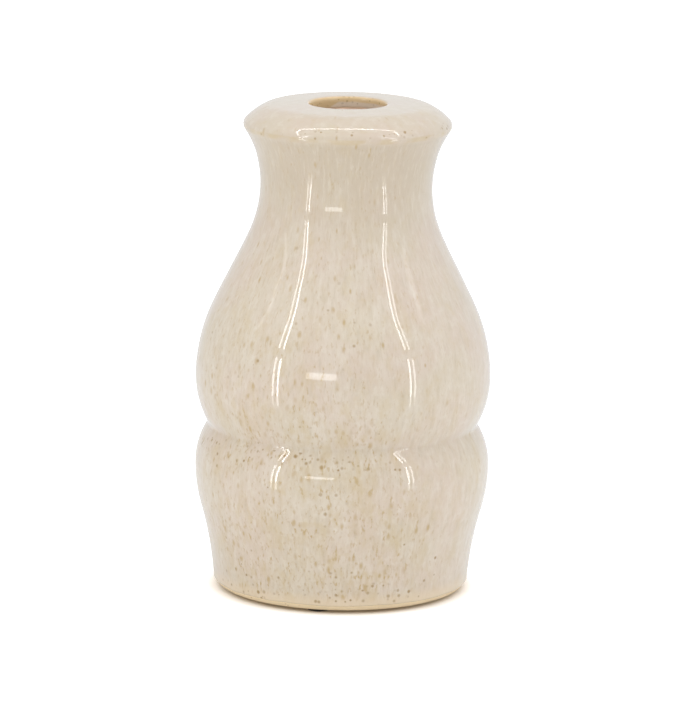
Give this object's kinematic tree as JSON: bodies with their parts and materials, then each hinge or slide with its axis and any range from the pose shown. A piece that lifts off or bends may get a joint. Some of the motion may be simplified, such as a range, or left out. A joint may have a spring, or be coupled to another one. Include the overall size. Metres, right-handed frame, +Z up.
{
  "type": "bottle vase",
  "caption": "Waisted stoneware bottle vase with a bevelled collar and a small round mouth, glazed inside and out, on felt discs.",
  "frame": {"origin": "on the vase's axis, at the surface that its felt discs stand on", "axes": "+Z up along the vase's axis, out of its mouth; the pictured side faces -Y"},
  "size_m": [0.108, 0.108, 0.18],
  "materials": {
    "stoneware": "matte",
    "glaze": "gloss",
    "felt": "matte"
  },
  "bodies": {
    "root": {"stoneware_body": "stoneware", "outer_glaze": "glaze", "lining_glaze": "glaze", "foot_well_glaze": "glaze", "felt_pad_front": "felt", "felt_pad_right": "felt", "felt_pad_left": "felt"}
  },
  "joints": []
}
